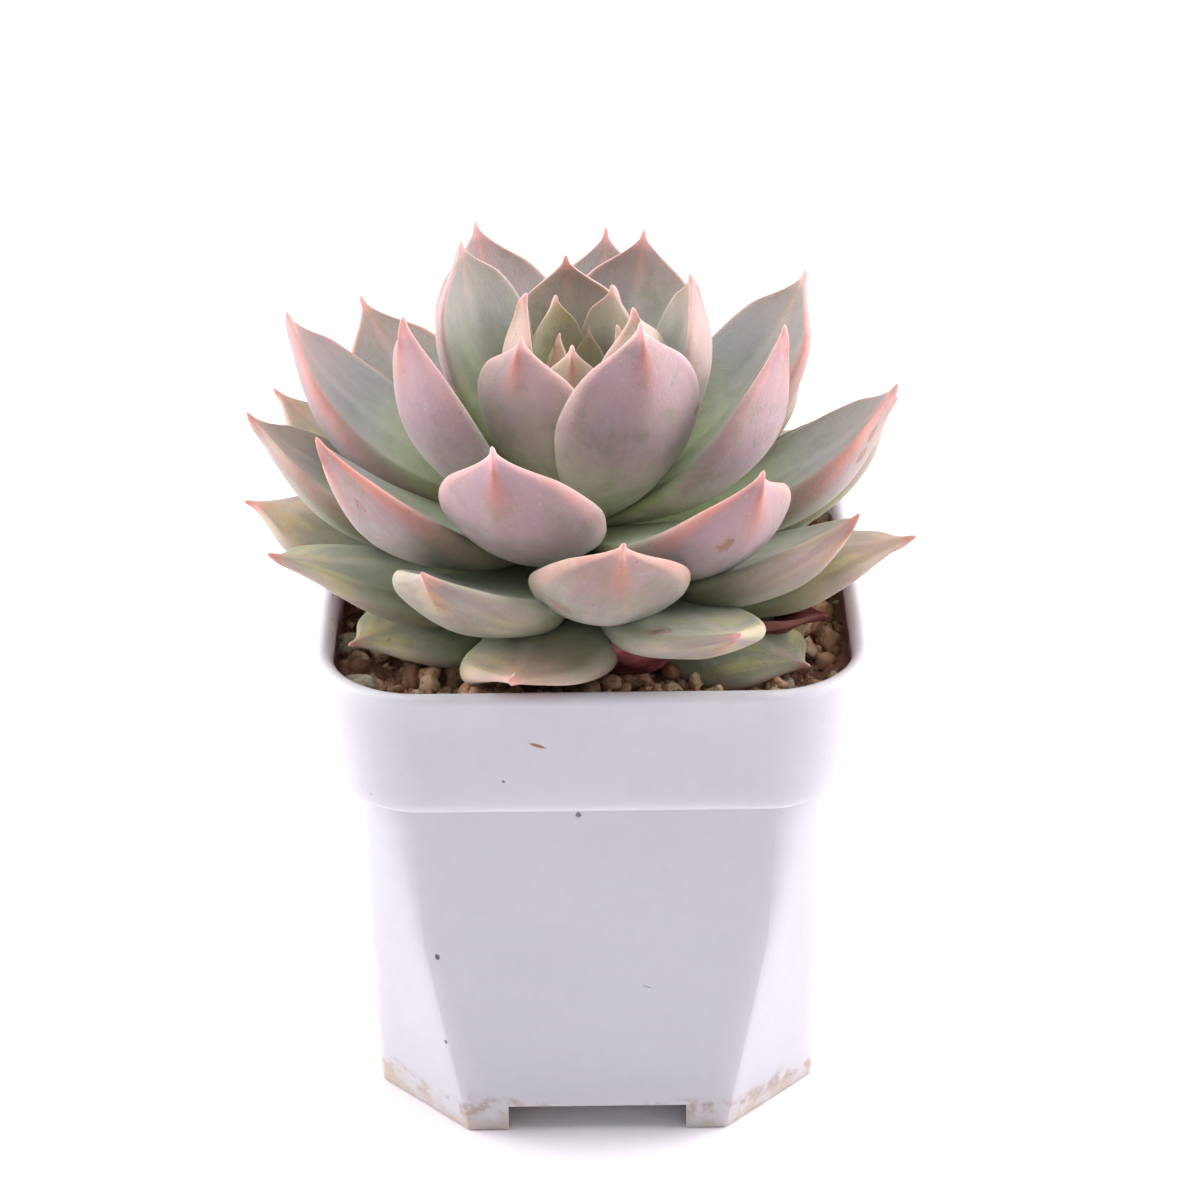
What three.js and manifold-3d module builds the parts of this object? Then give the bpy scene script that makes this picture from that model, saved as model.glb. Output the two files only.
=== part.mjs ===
// A rosette succulent in a square moulded nursery pot, as a three.js scene graph.
// Millimetres, +Z up. The origin is on the surface that the pot stands on, under the middle of the plant.
// The pot's front is towards -Y. Each leaf, stone and moulding is one closed mesh of its own.
import * as THREE from 'three';
import { mergeVertices } from 'three/addons/utils/BufferGeometryUtils.js';
import Module from 'manifold-3d';

const wasm = await Module();
wasm.setup();

const gap = 0.35; // left between any two pieces that touch

// Pot: a tapered body with cut corners, a wider band round its top, and a skirt that stands on four feet.
const pot = {
  height: 69,
  bandTop: 70, // width across the band at the lip
  bandFoot: 65.2, // width across the band where it meets the body
  bandHeight: 17.8,
  bodyTop: 60.8,
  bodyFoot: 57.8,
  bandFillet: 0.8, // round the band's lower edge
  wall: 1.6,
  lipWidth: 2.3, // the bead along the top of the wall
  lipDepth: 2.6,
  lipRadius: 13.5, // corner radius, seen from above
  bandFootRadius: 11.5,
  bodyRadius: 7.5,
  cutTop: 4.4, // how far each corner is cut back, along a side
  cutFoot: 12,
  footHeight: 3.9,
  notchWidth: 23.4,
  floor: 1.6,
  drainRadius: 3,
  drainHoles: 4, // round the one in the middle
  drainRing: 13, // their distance from the middle
};

// Soil: fills the pot to a little under the lip, mounded towards the stem.
const soil = { belowLip: 5.6, mound: 2, unevenness: 0.5 };

// Stem: a short thick stem that tapers to the growing point and runs down into the soil as a root.
const stem = { radius: 5.6, rootDepth: 26, rootRadius: 1.6, tipHeight: 15.5, tipRadius: 1, collar: 2.5 };

// Stones: the largest grains, which lie in the pot's corners outside the leaves.
const stones = { count: 5, size: 5, fromWall: 1, firstAzimuth: -139, step: 86 };

// Rosette: leaf after leaf on one spiral, the youngest at the growing point and the oldest on the soil.
const rosette = {
  leaves: 46,
  withered: 4, // the oldest leaves of all, dried up under the live ones
  turn: 137.44, // degrees from each leaf to the next
  firstAzimuth: 76.6, // of leaf 1
  centre: [-1.1, -0.3],
  radius: 45, // the farthest reach of a leaf's tip from the stem
  height: 39.8, // the highest tip above the lip of the pot
  leafWidth: 19.6,
  leafThickness: 5.4,
};

// Leaf: the form that every leaf shares. Lengths along it are shares of its length.
const leafForm = {
  widestAt: 0.6,
  neckWidth: 0.28, // at the stem, as a share of the full width
  neckThickness: 0.34, // at the stem, as a share of the full thickness
  faceShare: 0.22, // of the thickness, on the face's side of the midline
  cupping: 0.1, // how far the margins turn up, as a share of the width
  bow: 0.38, // how stiffly the midline leaves each end, as a share of the span
};

// How a leaf changes with its place in the spiral.
// reach: its tip's distance from the stem, as a share of the radius.
// rise: its tip's height over the lip, as a share of the height.
// base: where it leaves the stem, as a share of the stem's height.
// start and end: the slope of its midline, in degrees.
// wide and thick: shares of the full leaf.
const growth = [
  // leaf, reach, rise, base, start, end, wide, thick
  [1, 0.08, 0.81, 0.97, 84, 94, 0.26, 0.35],
  [5, 0.13, 0.915, 0.9, 76, 98, 0.52, 0.5],
  [10, 0.26, 1, 0.8, 58, 102, 0.88, 0.8],
  [16, 0.62, 0.95, 0.67, 30, 82, 1, 1],
  [23, 0.89, 0.71, 0.52, 12, 62, 1, 1],
  [31, 0.955, 0.48, 0.36, 0, 46, 1, 1],
  [38, 1, 0.235, 0.22, -6, 26, 1, 0.92],
  [41, 0.97, 0.16, 0.16, -6, 18, 0.98, 0.88],
  [43, 0.83, 0.01, 0.1, -10, 8, 0.9, 0.8],
  [46, 0.75, -0.04, 0.04, -12, 4, 0.85, 0.7],
  [47, 0.7, 0.1, 0.02, -24, 58, 0.46, 0.3],
  [50, 0.78, 0.04, 0, -20, 24, 0.46, 0.28],
];

// Leaves that have strayed from the even spiral: degrees round the stem, then millimetres out and up.
const stray = {
  1: [-4, 0, 0],
  2: [0, -1, 0.5],
  4: [-3, 0, 1],
  5: [-5, 1, -2],
  6: [2, -1, 0.5],
  7: [0, -1, 0.5],
  9: [4, 0, 0],
  10: [2, 1, -2.5],
  12: [-1, 1, 2],
  13: [7, -1, 2.5],
  14: [4, -1, -0.5],
  15: [2, -2, 1],
  16: [0, -1, 0.5],
  17: [1, 0.5, 0.5],
  18: [-1, 2, -2.5],
  20: [2, 2, 1],
  21: [-2, 1.5, -1.5],
  22: [2, 1, 1.5],
  23: [-5, -1, 1.5],
  24: [-2, -1, 0],
  26: [4, 0, 0],
  28: [-6, 0, 0.5],
  29: [-4, 0.5, -0.5],
  31: [4, 0, 0.5],
  33: [1, 1, 1],
  34: [2, 1.5, -2.5],
  36: [0, -1, 0.5],
  37: [-2, -1, 0],
  39: [0, -6, -3],
  41: [-2, 1, 0],
  42: [8, -5.5, -5],
  44: [-10, -1, 0.5],
};

const rad = THREE.MathUtils.degToRad;

// The growth table read at any leaf number, through a smooth curve.
function grown(leaf) {
  const last = growth.length - 1;
  let k = 0;
  while (k < last - 1 && leaf > growth[k + 1][0]) k++;
  const row = (n) => growth[THREE.MathUtils.clamp(n, 0, last)];
  const [a, b, c, d] = [row(k - 1), row(k), row(k + 1), row(k + 2)];
  const t = (leaf - b[0]) / (c[0] - b[0]);
  const read = (col) => {
    const rateIn = ((c[col] - a[col]) / (c[0] - a[0])) * (c[0] - b[0]);
    const rateOut = ((d[col] - b[col]) / (d[0] - b[0])) * (c[0] - b[0]);
    const step = c[col] - b[col];
    return b[col] + t * (rateIn + t * (3 * step - 2 * rateIn - rateOut + t * (rateIn + rateOut - 2 * step)));
  };
  const [reach, rise, base, start, end, wide, thick] = [1, 2, 3, 4, 5, 6, 7].map(read);
  return { reach, rise, base, start, end, wide, thick };
}

// A closed solid through a list of rings with the same number of points, each ring counter-clockwise seen
// from the end that the list runs towards. A fan closes each end, the last one round `apex` if it's given.
function loft(rings, apex) {
  const n = rings[0].length;
  const vertices = [];
  const faces = [];
  rings.forEach((ring) => ring.forEach((p) => vertices.push(p.x, p.y, p.z)));
  for (let k = 0; k + 1 < rings.length; k++) {
    for (let j = 0; j < n; j++) {
      const [a, b] = [k * n + j, k * n + ((j + 1) % n)];
      faces.push(a, b, b + n, a, b + n, a + n);
    }
  }
  [0, rings.length - 1].forEach((k) => {
    const middle = new THREE.Vector3();
    rings[k].forEach((p) => middle.addScaledVector(p, 1 / n));
    if (k > 0 && apex) middle.copy(apex);
    vertices.push(middle.x, middle.y, middle.z);
    const m = vertices.length / 3 - 1;
    for (let j = 0; j < n; j++) {
      const [a, b] = [k * n + j, k * n + ((j + 1) % n)];
      faces.push(...(k === 0 ? [m, b, a] : [m, a, b]));
    }
  });
  const made = new THREE.BufferGeometry();
  made.setAttribute('position', new THREE.Float32BufferAttribute(vertices, 3));
  made.setIndex(faces);
  return made;
}

function toSolid(geometry) {
  const bare = geometry.clone();
  bare.deleteAttribute('normal');
  bare.deleteAttribute('uv');
  const merged = mergeVertices(bare, 1e-4);
  return new wasm.Manifold(
    new wasm.Mesh({
      numProp: 3,
      vertProperties: merged.getAttribute('position').array,
      triVerts: new Uint32Array(merged.index.array),
    }),
  );
}

// The largest body of a solid, as a geometry: a cut can leave crumbs that the real piece wouldn't have.
function toGeometry(solid) {
  const largest = solid.decompose().sort((a, b) => b.volume() - a.volume())[0];
  const mesh = largest.getMesh();
  const made = new THREE.BufferGeometry();
  made.setAttribute('position', new THREE.Float32BufferAttribute(Float32Array.from(mesh.vertProperties), 3));
  made.setIndex(Array.from(mesh.triVerts));
  return made;
}

// ---- pot -------------------------------------------------------------------------------------------------

const cornerSteps = 5;
const upwards = new THREE.Vector3(0, 0, 1);

// A square ring with rounded corners, each also cut by a straight line that starts `cut` along the sides.
function squareRing(width, radius, cut, z) {
  const half = width / 2;
  const round = Math.max(radius, cut);
  const points = [];
  for (let corner = 0; corner < 4; corner++) {
    for (let step = 0; step <= cornerSteps; step++) {
      const angle = (Math.PI / 2) * (step / cornerSteps);
      let x = half - round + round * Math.cos(angle);
      let y = half - round + round * Math.sin(angle);
      const over = Math.max(0, (x + y - (2 * half - cut)) / 2);
      x -= over;
      y -= over;
      points.push(new THREE.Vector3(x, y, z).applyAxisAngle(upwards, (corner * Math.PI) / 2));
    }
  }
  return points;
}

const bandFootZ = pot.height - pot.bandHeight;
const floorTop = pot.footHeight + pot.floor;
const bodyLevels = [0.25, 0.5, 0.75].map((share) => bandFootZ * share);

// The body's ring at a height, moved in by `inset`.
function bodyRing(z, inset) {
  const t = z / bandFootZ;
  const width = THREE.MathUtils.lerp(pot.bodyFoot, pot.bodyTop, t) - 2 * inset;
  const cut = THREE.MathUtils.lerp(pot.cutFoot, pot.cutTop, t) - (2 - Math.SQRT2) * inset;
  return squareRing(width, Math.max(pot.bodyRadius - inset, 1), cut, z);
}

// The band's ring at a height, moved in by `inset`.
function bandRing(z, inset) {
  const t = (z - bandFootZ) / pot.bandHeight;
  const width = THREE.MathUtils.lerp(pot.bandFoot, pot.bandTop, t) - 2 * inset;
  const radius = THREE.MathUtils.lerp(pot.bandFootRadius, pot.lipRadius, t) - inset;
  return squareRing(width, radius, 0, z);
}

// What the pot holds: the space inside its walls from the floor up to `top`, less `inset` all round.
function cavityRings(top, inset) {
  const ledge = bandFootZ + pot.wall;
  const within = pot.wall + inset;
  return [
    bodyRing(floorTop + inset, within),
    ...bodyLevels.map((z) => bodyRing(z, within)),
    bodyRing(ledge + inset, within),
    bandRing(ledge + inset, within),
    bandRing(top, within),
  ];
}

// The pot without its notches and holes, moved out all round by `grow`.
function makeShell(grow) {
  const bead = pot.lipWidth / 2;
  const shoulder = pot.height - bead;
  const round = bead + grow;
  const slant = round * Math.SQRT1_2;
  const rings = [
    bodyRing(pot.footHeight, pot.wall),
    bodyRing(0, pot.wall),
    bodyRing(0, -grow),
    ...bodyLevels.map((z) => bodyRing(z, -grow)),
    bodyRing(bandFootZ - grow, -grow),
    bandRing(bandFootZ - grow, pot.bandFillet),
    bandRing(bandFootZ + pot.bandFillet, -grow),
    bandRing(shoulder, -grow),
    bandRing(shoulder + slant, bead - slant),
    bandRing(shoulder + round, bead),
    bandRing(shoulder + slant, bead + slant),
    bandRing(shoulder, pot.lipWidth + grow),
    ...cavityRings(pot.height - pot.lipDepth, grow).reverse(),
  ];
  return toSolid(loft(rings));
}

function makePot() {
  let solid = makeShell(0);
  [0, 90].forEach((turn) => {
    const notch = new THREE.BoxGeometry(pot.notchWidth, pot.bodyFoot * 2, pot.footHeight * 2);
    solid = solid.subtract(toSolid(notch.rotateZ(rad(turn))));
  });
  for (let k = 0; k <= pot.drainHoles; k++) {
    const hole = new THREE.CylinderGeometry(pot.drainRadius, pot.drainRadius, floorTop * 3, 12);
    hole.rotateX(Math.PI / 2).translate(k > 0 ? pot.drainRing : 0, 0, 0);
    solid = solid.subtract(toSolid(hole.rotateZ(rad(45 + (360 / pot.drainHoles) * k))));
  }
  return solid;
}

// ---- stem and soil ---------------------------------------------------------------------------------------

const lipZ = pot.height;
const soilZ = lipZ - soil.belowLip;
const [centreX, centreY] = rosette.centre;

// The stem's outline as [radius, height], from the root up: thickest a little way over the soil.
const stemOutline = [
  [stem.rootRadius, soilZ - stem.rootDepth],
  [stem.radius * 0.62, soilZ - stem.rootDepth * 0.55],
  [stem.radius * 0.9, soilZ - stem.rootDepth * 0.15],
  [stem.radius, soilZ + stem.collar],
  [stem.radius * 0.94, lipZ + stem.collar],
  [stem.radius * 0.66, lipZ + stem.tipHeight * 0.55],
  [stem.tipRadius, lipZ + stem.tipHeight],
];

// The stem as a closed solid, moved out all round by `grow`.
function makeStem(grow) {
  const side = stemOutline.map(([r, z]) => new THREE.Vector2(r + grow, z));
  const foot = new THREE.Vector2(0, stemOutline[0][1] - grow);
  const top = new THREE.Vector2(0, lipZ + stem.tipHeight + grow * 2);
  const turned = new THREE.LatheGeometry([foot, ...side, top], 16);
  turned.rotateX(Math.PI / 2).translate(centreX, centreY, 0);
  return toSolid(turned);
}

// The soil without the stem's hole. `grow` raises its surface.
function makeSoil(grow) {
  const rings = cavityRings(soilZ + grow, gap);
  const top = rings[rings.length - 1];
  // the surface: rings that close in, gently mounded and uneven
  [0.86, 0.6, 0.34].forEach((share, k) => {
    rings.push(
      top.map((p, j) => {
        const rise = soil.mound * (1 - share) + soil.unevenness * Math.sin(j * 1.9 + k * 2.3) + grow;
        return new THREE.Vector3(p.x * share, p.y * share, soilZ + rise);
      }),
    );
  });
  return toSolid(loft(rings));
}

// ---- leaves ----------------------------------------------------------------------------------------------

const acrossFace = [1, 0.72, 0.3, -0.3, -0.72, -1];
const acrossBack = [-0.72, -0.3, 0.3, 0.72];
const lengthSteps = [0, 0.16, 0.34, 0.5, 0.66, 0.8, 0.9, 0.96];

// A leaf's half width at a share of its length, from 0 at the stem to 1 at the tip, of a leaf 1 wide.
function leafHalfWidth(s) {
  const { widestAt, neckWidth } = leafForm;
  const flare = Math.sin((Math.PI / 2) * (s / widestAt)) ** 1.3;
  const taper = (1 - ((s - widestAt) / (1 - widestAt)) ** 2) ** 1.1;
  return 0.5 * (s < widestAt ? neckWidth + (1 - neckWidth) * flare : taper);
}

// A leaf's thickness along its length, of a leaf 1 thick.
function leafDepth(s) {
  const swell = Math.sin(Math.PI * s);
  return s < 0.5 ? leafForm.neckThickness + (1 - leafForm.neckThickness) * swell : swell ** 0.75;
}

// The stem's radius at a height.
function stemRadius(z) {
  const k = stemOutline.findIndex(([, height]) => height > z);
  if (k < 1) return stem.tipRadius;
  const [[r0, z0], [r1, z1]] = [stemOutline[k - 1], stemOutline[k]];
  return THREE.MathUtils.mapLinear(z, z0, z1, r0, r1);
}

// A flat outline of [across, up] points, listed counter-clockwise, with every side moved out by `grow`.
function growOutline(outline, grow) {
  const n = outline.length;
  const sideNormal = (j) => {
    const [[x0, y0], [x1, y1]] = [outline[(j + n) % n], outline[(j + 1) % n]];
    return new THREE.Vector2(y1 - y0, x0 - x1).normalize();
  };
  return outline.map(([x, y], j) => {
    const [a, b] = [sideNormal(j - 1), sideNormal(j)];
    const miter = a.clone().add(b).multiplyScalar(grow / Math.max(1 + a.dot(b), 0.4));
    return [x + miter.x, y + miter.y];
  });
}

// Leaf `number` as a closed solid, moved out all round by `grow`.
function makeLeaf(number, grow) {
  const g = grown(number);
  const [askew, further, higher] = stray[number] ?? [0, 0, 0];
  const lowest = soilZ + 3;
  const baseZ = THREE.MathUtils.lerp(lowest, lipZ + stem.tipHeight - 2, g.base);
  const from = new THREE.Vector3(stemRadius(baseZ) + gap, 0, baseZ);
  const to = new THREE.Vector3(rosette.radius * g.reach, 0, lipZ + rosette.height * g.rise);
  to.add(new THREE.Vector3(further, 0, higher));
  const pull = from.distanceTo(to) * leafForm.bow;
  const midline = new THREE.CubicBezierCurve3(
    from,
    new THREE.Vector3(from.x + pull * Math.cos(rad(g.start)), 0, from.z + pull * Math.sin(rad(g.start))),
    new THREE.Vector3(to.x - pull * Math.cos(rad(g.end)), 0, to.z - pull * Math.sin(rad(g.end))),
    to,
  );
  const width = rosette.leafWidth * g.wide;
  const thickness = rosette.leafThickness * g.thick;
  const rings = lengthSteps.map((s) => {
    const along = midline.getTangentAt(s);
    const at = midline.getPointAt(s).addScaledVector(along, s > 0 ? 0 : -grow);
    const up = new THREE.Vector3(-along.z, 0, along.x); // from the leaf's back to its face
    const half = width * leafHalfWidth(s);
    const depth = thickness * leafDepth(s);
    const curl = (v) => width * leafForm.cupping * Math.min(1, s / leafForm.widestAt) * (v * v - 0.35);
    const face = acrossFace.map((v) => [v * half, curl(v) + depth * leafForm.faceShare * (1 - v * v)]);
    const belly = (v) => depth * (1 - leafForm.faceShare) * (1 - Math.abs(v) ** 2.4);
    const back = acrossBack.map((v) => [v * half, curl(v) - belly(v)]);
    return growOutline([...face, ...back], grow).map(([across, lift]) => {
      return at.clone().addScaledVector(up, lift).add(new THREE.Vector3(0, across, 0));
    });
  });
  const tip = midline.getPointAt(1).addScaledVector(midline.getTangentAt(1), grow * 1.5);
  const made = loft(rings, tip);
  const azimuth = rosette.firstAzimuth + rosette.turn * (number - 1) + askew;
  made.rotateZ(rad(azimuth)).translate(centreX, centreY, 0);
  return toSolid(made);
}

// ---- stones ----------------------------------------------------------------------------------------------

// Stone `k` as a closed solid, moved out by `grow`: a ball pressed out of round, half sunk in the soil.
function makeStone(k, grow) {
  const ball = new THREE.IcosahedronGeometry(stones.size / 2, 1);
  const at = ball.getAttribute('position');
  for (let i = 0; i < at.count; i++) {
    const [x, y, z] = [at.getX(i), at.getY(i), at.getZ(i)];
    const press = 1 + 0.12 * Math.sin(1.7 * x + 2.3 * k) + 0.1 * Math.cos(2.1 * y - k);
    const out = new THREE.Vector3(x, y, z).setLength(grow * 1.4);
    at.setXYZ(i, x * press + out.x, y * press * 0.85 + out.y, z * press * 0.75 + out.z);
  }
  const azimuth = rad(stones.firstAzimuth + stones.step * k);
  const [x, y] = [Math.cos(azimuth), Math.sin(azimuth)];
  const half = pot.bandTop / 2 - pot.wall;
  const inCorner = (half - pot.lipRadius) * Math.SQRT2 + pot.lipRadius;
  const toWall = Math.min(half / Math.max(Math.abs(x), Math.abs(y)), inCorner);
  const far = toWall - stones.fromWall - stones.size / 2;
  ball.rotateZ(1.9 * k).translate(far * x, far * y, soilZ + stones.size * 0.3);
  return toSolid(ball);
}

// ---- assembly --------------------------------------------------------------------------------------------

const plasticWhite = new THREE.MeshStandardMaterial({ color: 0xeceaf2, roughness: 0.35 });
const soilBrown = new THREE.MeshStandardMaterial({ color: 0x6b4a33, roughness: 0.95 });
const stemTan = new THREE.MeshStandardMaterial({ color: 0x8a7a58, roughness: 0.8 });
const stonePale = new THREE.MeshStandardMaterial({ color: 0xb39e85, roughness: 0.9 });
const leafBrown = new THREE.MeshStandardMaterial({ color: 0x6e2f28, roughness: 0.75 });
const leafGreen = new THREE.MeshStandardMaterial({ color: 0xb4a8a4, roughness: 0.6 });

const plant = new THREE.Group();

function add(name, solid, material) {
  const mesh = new THREE.Mesh(toGeometry(solid), material);
  mesh.name = name;
  plant.add(mesh);
  return mesh;
}

function numbered(word, number) {
  return word + '_' + String(number).padStart(2, '0');
}

add('pot', makePot(), plasticWhite);
add('stem', makeStem(0), stemTan);
add('soil', makeSoil(0).subtract(makeStem(gap)), soilBrown);

const potRoom = makeShell(gap);
const soilRoom = makeSoil(gap);
const taken = [makeStem(gap), soilRoom, potRoom];
for (let k = 0; k < stones.count; k++) {
  add(numbered('stone', k + 1), makeStone(k, 0).subtract(soilRoom).subtract(potRoom), stonePale);
  taken.push(makeStone(k, gap));
}

// Each leaf gives way to the younger ones that it touches, and to the stem, the soil, the stones and the pot.
for (let number = 1; number <= rosette.leaves + rosette.withered; number++) {
  const live = number <= rosette.leaves;
  const leaf = taken.reduce((left, room) => left.subtract(room), makeLeaf(number, 0));
  taken.push(makeLeaf(number, gap));
  if (live) add(numbered('leaf', number), leaf, leafGreen);
  else add(numbered('withered_leaf', number - rosette.leaves), leaf, leafBrown);
}

// The origin goes under the middle of everything, at the feet.
const around = new THREE.Box3().setFromObject(plant, true);
plant.position.set(-(around.min.x + around.max.x) / 2, -(around.min.y + around.max.y) / 2, 0);

export default plant;
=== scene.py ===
import math
import bmesh
import bpy
import numpy as np
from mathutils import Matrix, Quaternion, Vector


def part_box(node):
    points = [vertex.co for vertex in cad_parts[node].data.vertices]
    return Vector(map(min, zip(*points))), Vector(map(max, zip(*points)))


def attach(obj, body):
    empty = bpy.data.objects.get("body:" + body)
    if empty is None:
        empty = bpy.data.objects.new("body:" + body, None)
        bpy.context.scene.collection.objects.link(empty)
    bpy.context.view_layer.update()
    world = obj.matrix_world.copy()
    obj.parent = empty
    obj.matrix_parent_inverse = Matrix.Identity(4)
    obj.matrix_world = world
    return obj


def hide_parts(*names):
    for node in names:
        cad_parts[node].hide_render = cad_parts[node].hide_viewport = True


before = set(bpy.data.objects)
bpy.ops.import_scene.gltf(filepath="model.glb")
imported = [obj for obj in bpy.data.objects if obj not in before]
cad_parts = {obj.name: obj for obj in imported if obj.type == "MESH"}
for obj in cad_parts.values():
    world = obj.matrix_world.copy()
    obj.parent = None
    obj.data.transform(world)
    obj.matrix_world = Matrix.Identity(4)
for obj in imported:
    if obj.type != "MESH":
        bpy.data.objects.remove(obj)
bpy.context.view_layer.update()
mm = 0.001
print("frame loaded:", len(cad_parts), "nodes")

# where things are, from the frame
potLow, potHigh = (np.array(corner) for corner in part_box("pot"))
soilHigh = np.array(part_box("soil")[1])
stemLow, stemHigh = (np.array(corner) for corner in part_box("stem"))
potMiddle = (potLow + potHigh) / 2
stemAxis = ((stemLow + stemHigh) / 2)[:2]
lipZ = potHigh[2]

# camera, floor and light

cameraView = {
    "lens": 105.9,
    "distance": 461.1 * mm,
    "down": 28.19,  # degrees below the horizon
    "round": -0.23,
    "roll": -0.52,
    "aimSide": 1.06 * mm,
    "aimHeight": 63.8 * mm,
}
studio = {
    "floorSize": 3.0,
    "floorBend": 0.6,
    "backHeight": 2.4,
    "paper": ((238, 232, 238), (243, 238, 243)),
    "sky": (0.93, 0.95, 1.0),
    "skyStrength": 0.5,
    # name: place round the pot in metres, size, watts, colour
    "lights": {
        "leftSoftbox": ((-0.64, 0.14, 0.34), 0.6, 6.6, (1.0, 0.99, 0.99)),
        "rightSoftbox": ((0.64, 0.12, 0.34), 0.6, 7.3, (1.0, 0.98, 0.99)),
        "topSoftbox": ((0.0, 0.1, 0.75), 0.7, 3.0, (1.0, 0.99, 0.99)),
        "backSoftbox": ((0.0, 0.8, 0.5), 0.8, 2.2, (1.0, 1.0, 1.0)),
        "frontFill": ((0.1, -0.8, 0.5), 0.6, 0.3, (1.0, 0.98, 1.0)),
    },
}


def makeCamera():
    v = cameraView
    down, turn = math.radians(v["down"]), math.radians(v["round"])
    aim = Vector((potMiddle[0] + v["aimSide"], potMiddle[1], potLow[2] + v["aimHeight"]))
    back = Vector((math.sin(turn) * math.cos(down), -math.cos(turn) * math.cos(down), math.sin(down)))
    camera = bpy.data.objects.new("camera", bpy.data.cameras.new("camera"))
    camera.data.lens = v["lens"]
    camera.data.sensor_width = 36
    camera.data.clip_start = 0.01
    camera.location = aim + back * v["distance"]
    camera.rotation_mode = "QUATERNION"
    camera.rotation_quaternion = back.to_track_quat("Z", "Y") @ Quaternion((0, 0, 1), math.radians(v["roll"]))
    bpy.context.scene.collection.objects.link(camera)
    bpy.context.scene.camera = camera


def makeLights():
    aim = Vector((potMiddle[0], potMiddle[1], lipZ))
    for name, (place, size, watts, colour) in studio["lights"].items():
        lamp = bpy.data.lights.new(name, "AREA")
        lamp.shape = "DISK"
        lamp.size = size
        lamp.energy = watts
        lamp.color = colour
        holder = bpy.data.objects.new(name, lamp)
        holder.location = Vector(place) + Vector((potMiddle[0], potMiddle[1], 0))
        holder.rotation_mode = "QUATERNION"
        holder.rotation_quaternion = (holder.location - aim).to_track_quat("Z", "Y")
        bpy.context.scene.collection.objects.link(holder)
    world = bpy.data.worlds.new("studio")
    world.use_nodes = True
    sky = world.node_tree.nodes["Background"]
    sky.inputs["Color"].default_value = (*studio["sky"], 1)
    sky.inputs["Strength"].default_value = studio["skyStrength"]
    bpy.context.scene.world = world
    bpy.context.scene.view_settings.view_transform = "Standard"


# shader node helpers: any input takes a socket, a number or a colour, and each returns its output socket


def feed(node, socket, value):
    if isinstance(value, bpy.types.NodeSocket):
        node.id_data.links.new(value, node.inputs[socket])
    else:
        node.inputs[socket].default_value = value


def put(tree, kind, settings=None, **inputs):
    node = tree.nodes.new(kind)
    for name, value in (settings or {}).items():
        setattr(node, name, value)
    for name, value in inputs.items():
        feed(node, name.replace("_", " "), value)
    return node


def joined(kind, settings, inputs, output=0):
    # a node in the tree its input sockets belong to
    tree = next(value.id_data for value in inputs.values() if isinstance(value, bpy.types.NodeSocket))
    node = put(tree, kind, settings)
    for socket, value in inputs.items():
        feed(node, socket, value)
    return node.outputs[output]


def calc(operation, a, b=0.0, clamp=False):
    return joined("ShaderNodeMath", {"operation": operation, "use_clamp": clamp}, {0: a, 1: b})


def times(a, b, clamp=False):
    return calc("MULTIPLY", a, b, clamp)


def plus(a, b):
    return calc("ADD", a, b)


def minus(a, b):
    return calc("SUBTRACT", a, b)


def vectorCalc(operation, a, b, output=0):
    return joined("ShaderNodeVectorMath", {"operation": operation}, {0: a, 1: b}, output)


def step(value, low, high, bottom=0.0, top=1.0):
    # a soft step: bottom below low, top over high
    inputs = {"Value": value, "From Min": low, "From Max": high, "To Min": bottom, "To Max": top}
    return joined("ShaderNodeMapRange", {"interpolation_type": "SMOOTHSTEP"}, inputs)


def fall(value, low, high):
    return step(value, low, high, 1.0, 0.0)


def mix(factor, a, b, blend="MIX"):
    settings = {"data_type": "RGBA", "blend_type": blend, "clamp_factor": True}
    return joined("ShaderNodeMix", settings, {0: factor, 6: a, 7: b}, 2)


def cover(under, paint, mask, share):
    # lays paint over the colour under it, as thick as mask times share
    return mix(times(mask, share), under, paint)


def noise(vector, scale, detail=3.0, rough=0.55, output="Fac"):
    inputs = {"Vector": vector, "Scale": scale, "Detail": detail, "Roughness": rough}
    return joined("ShaderNodeTexNoise", {}, inputs, output)


def clouds(vector, coarse, fine, share):
    inputs = {"Vector": vector, "Coarse": coarse, "Fine": fine, "Share": share}
    return joined("ShaderNodeGroup", {"node_tree": mottle}, inputs)


def specks(vector, scale, size, amount):
    inputs = {"Vector": vector, "Scale": scale, "Size": size, "Amount": amount}
    return joined("ShaderNodeGroup", {"node_tree": speckles}, inputs)


def split(vector):
    return joined("ShaderNodeSeparateXYZ", {}, {0: vector}).node.outputs


def bump(skin, height, strength, distance):
    node = put(skin.id_data, "ShaderNodeBump", None, Strength=strength, Distance=distance, Height=height)
    feed(skin, "Normal", node.outputs[0])


def attribute(tree, name, output="Vector"):
    return put(tree, "ShaderNodeAttribute", {"attribute_name": name}).outputs[output]


def objectPlace(tree):
    return put(tree, "ShaderNodeTexCoord").outputs["Object"]


def colour(red, green, blue):
    # screen values from 0 to 255 as a linear colour
    return tuple(((c / 255 + 0.055) / 1.055) ** 2.4 if c > 10 else c / 3294.6 for c in (red, green, blue)) + (1.0,)


def newMaterial(name, **fixed):
    material = bpy.data.materials.new(name)
    material.use_nodes = True
    skin = material.node_tree.nodes["Principled BSDF"]
    for label, value in fixed.items():
        skin.inputs[label.replace("_", " ")].default_value = value
    return material, material.node_tree, skin


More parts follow.
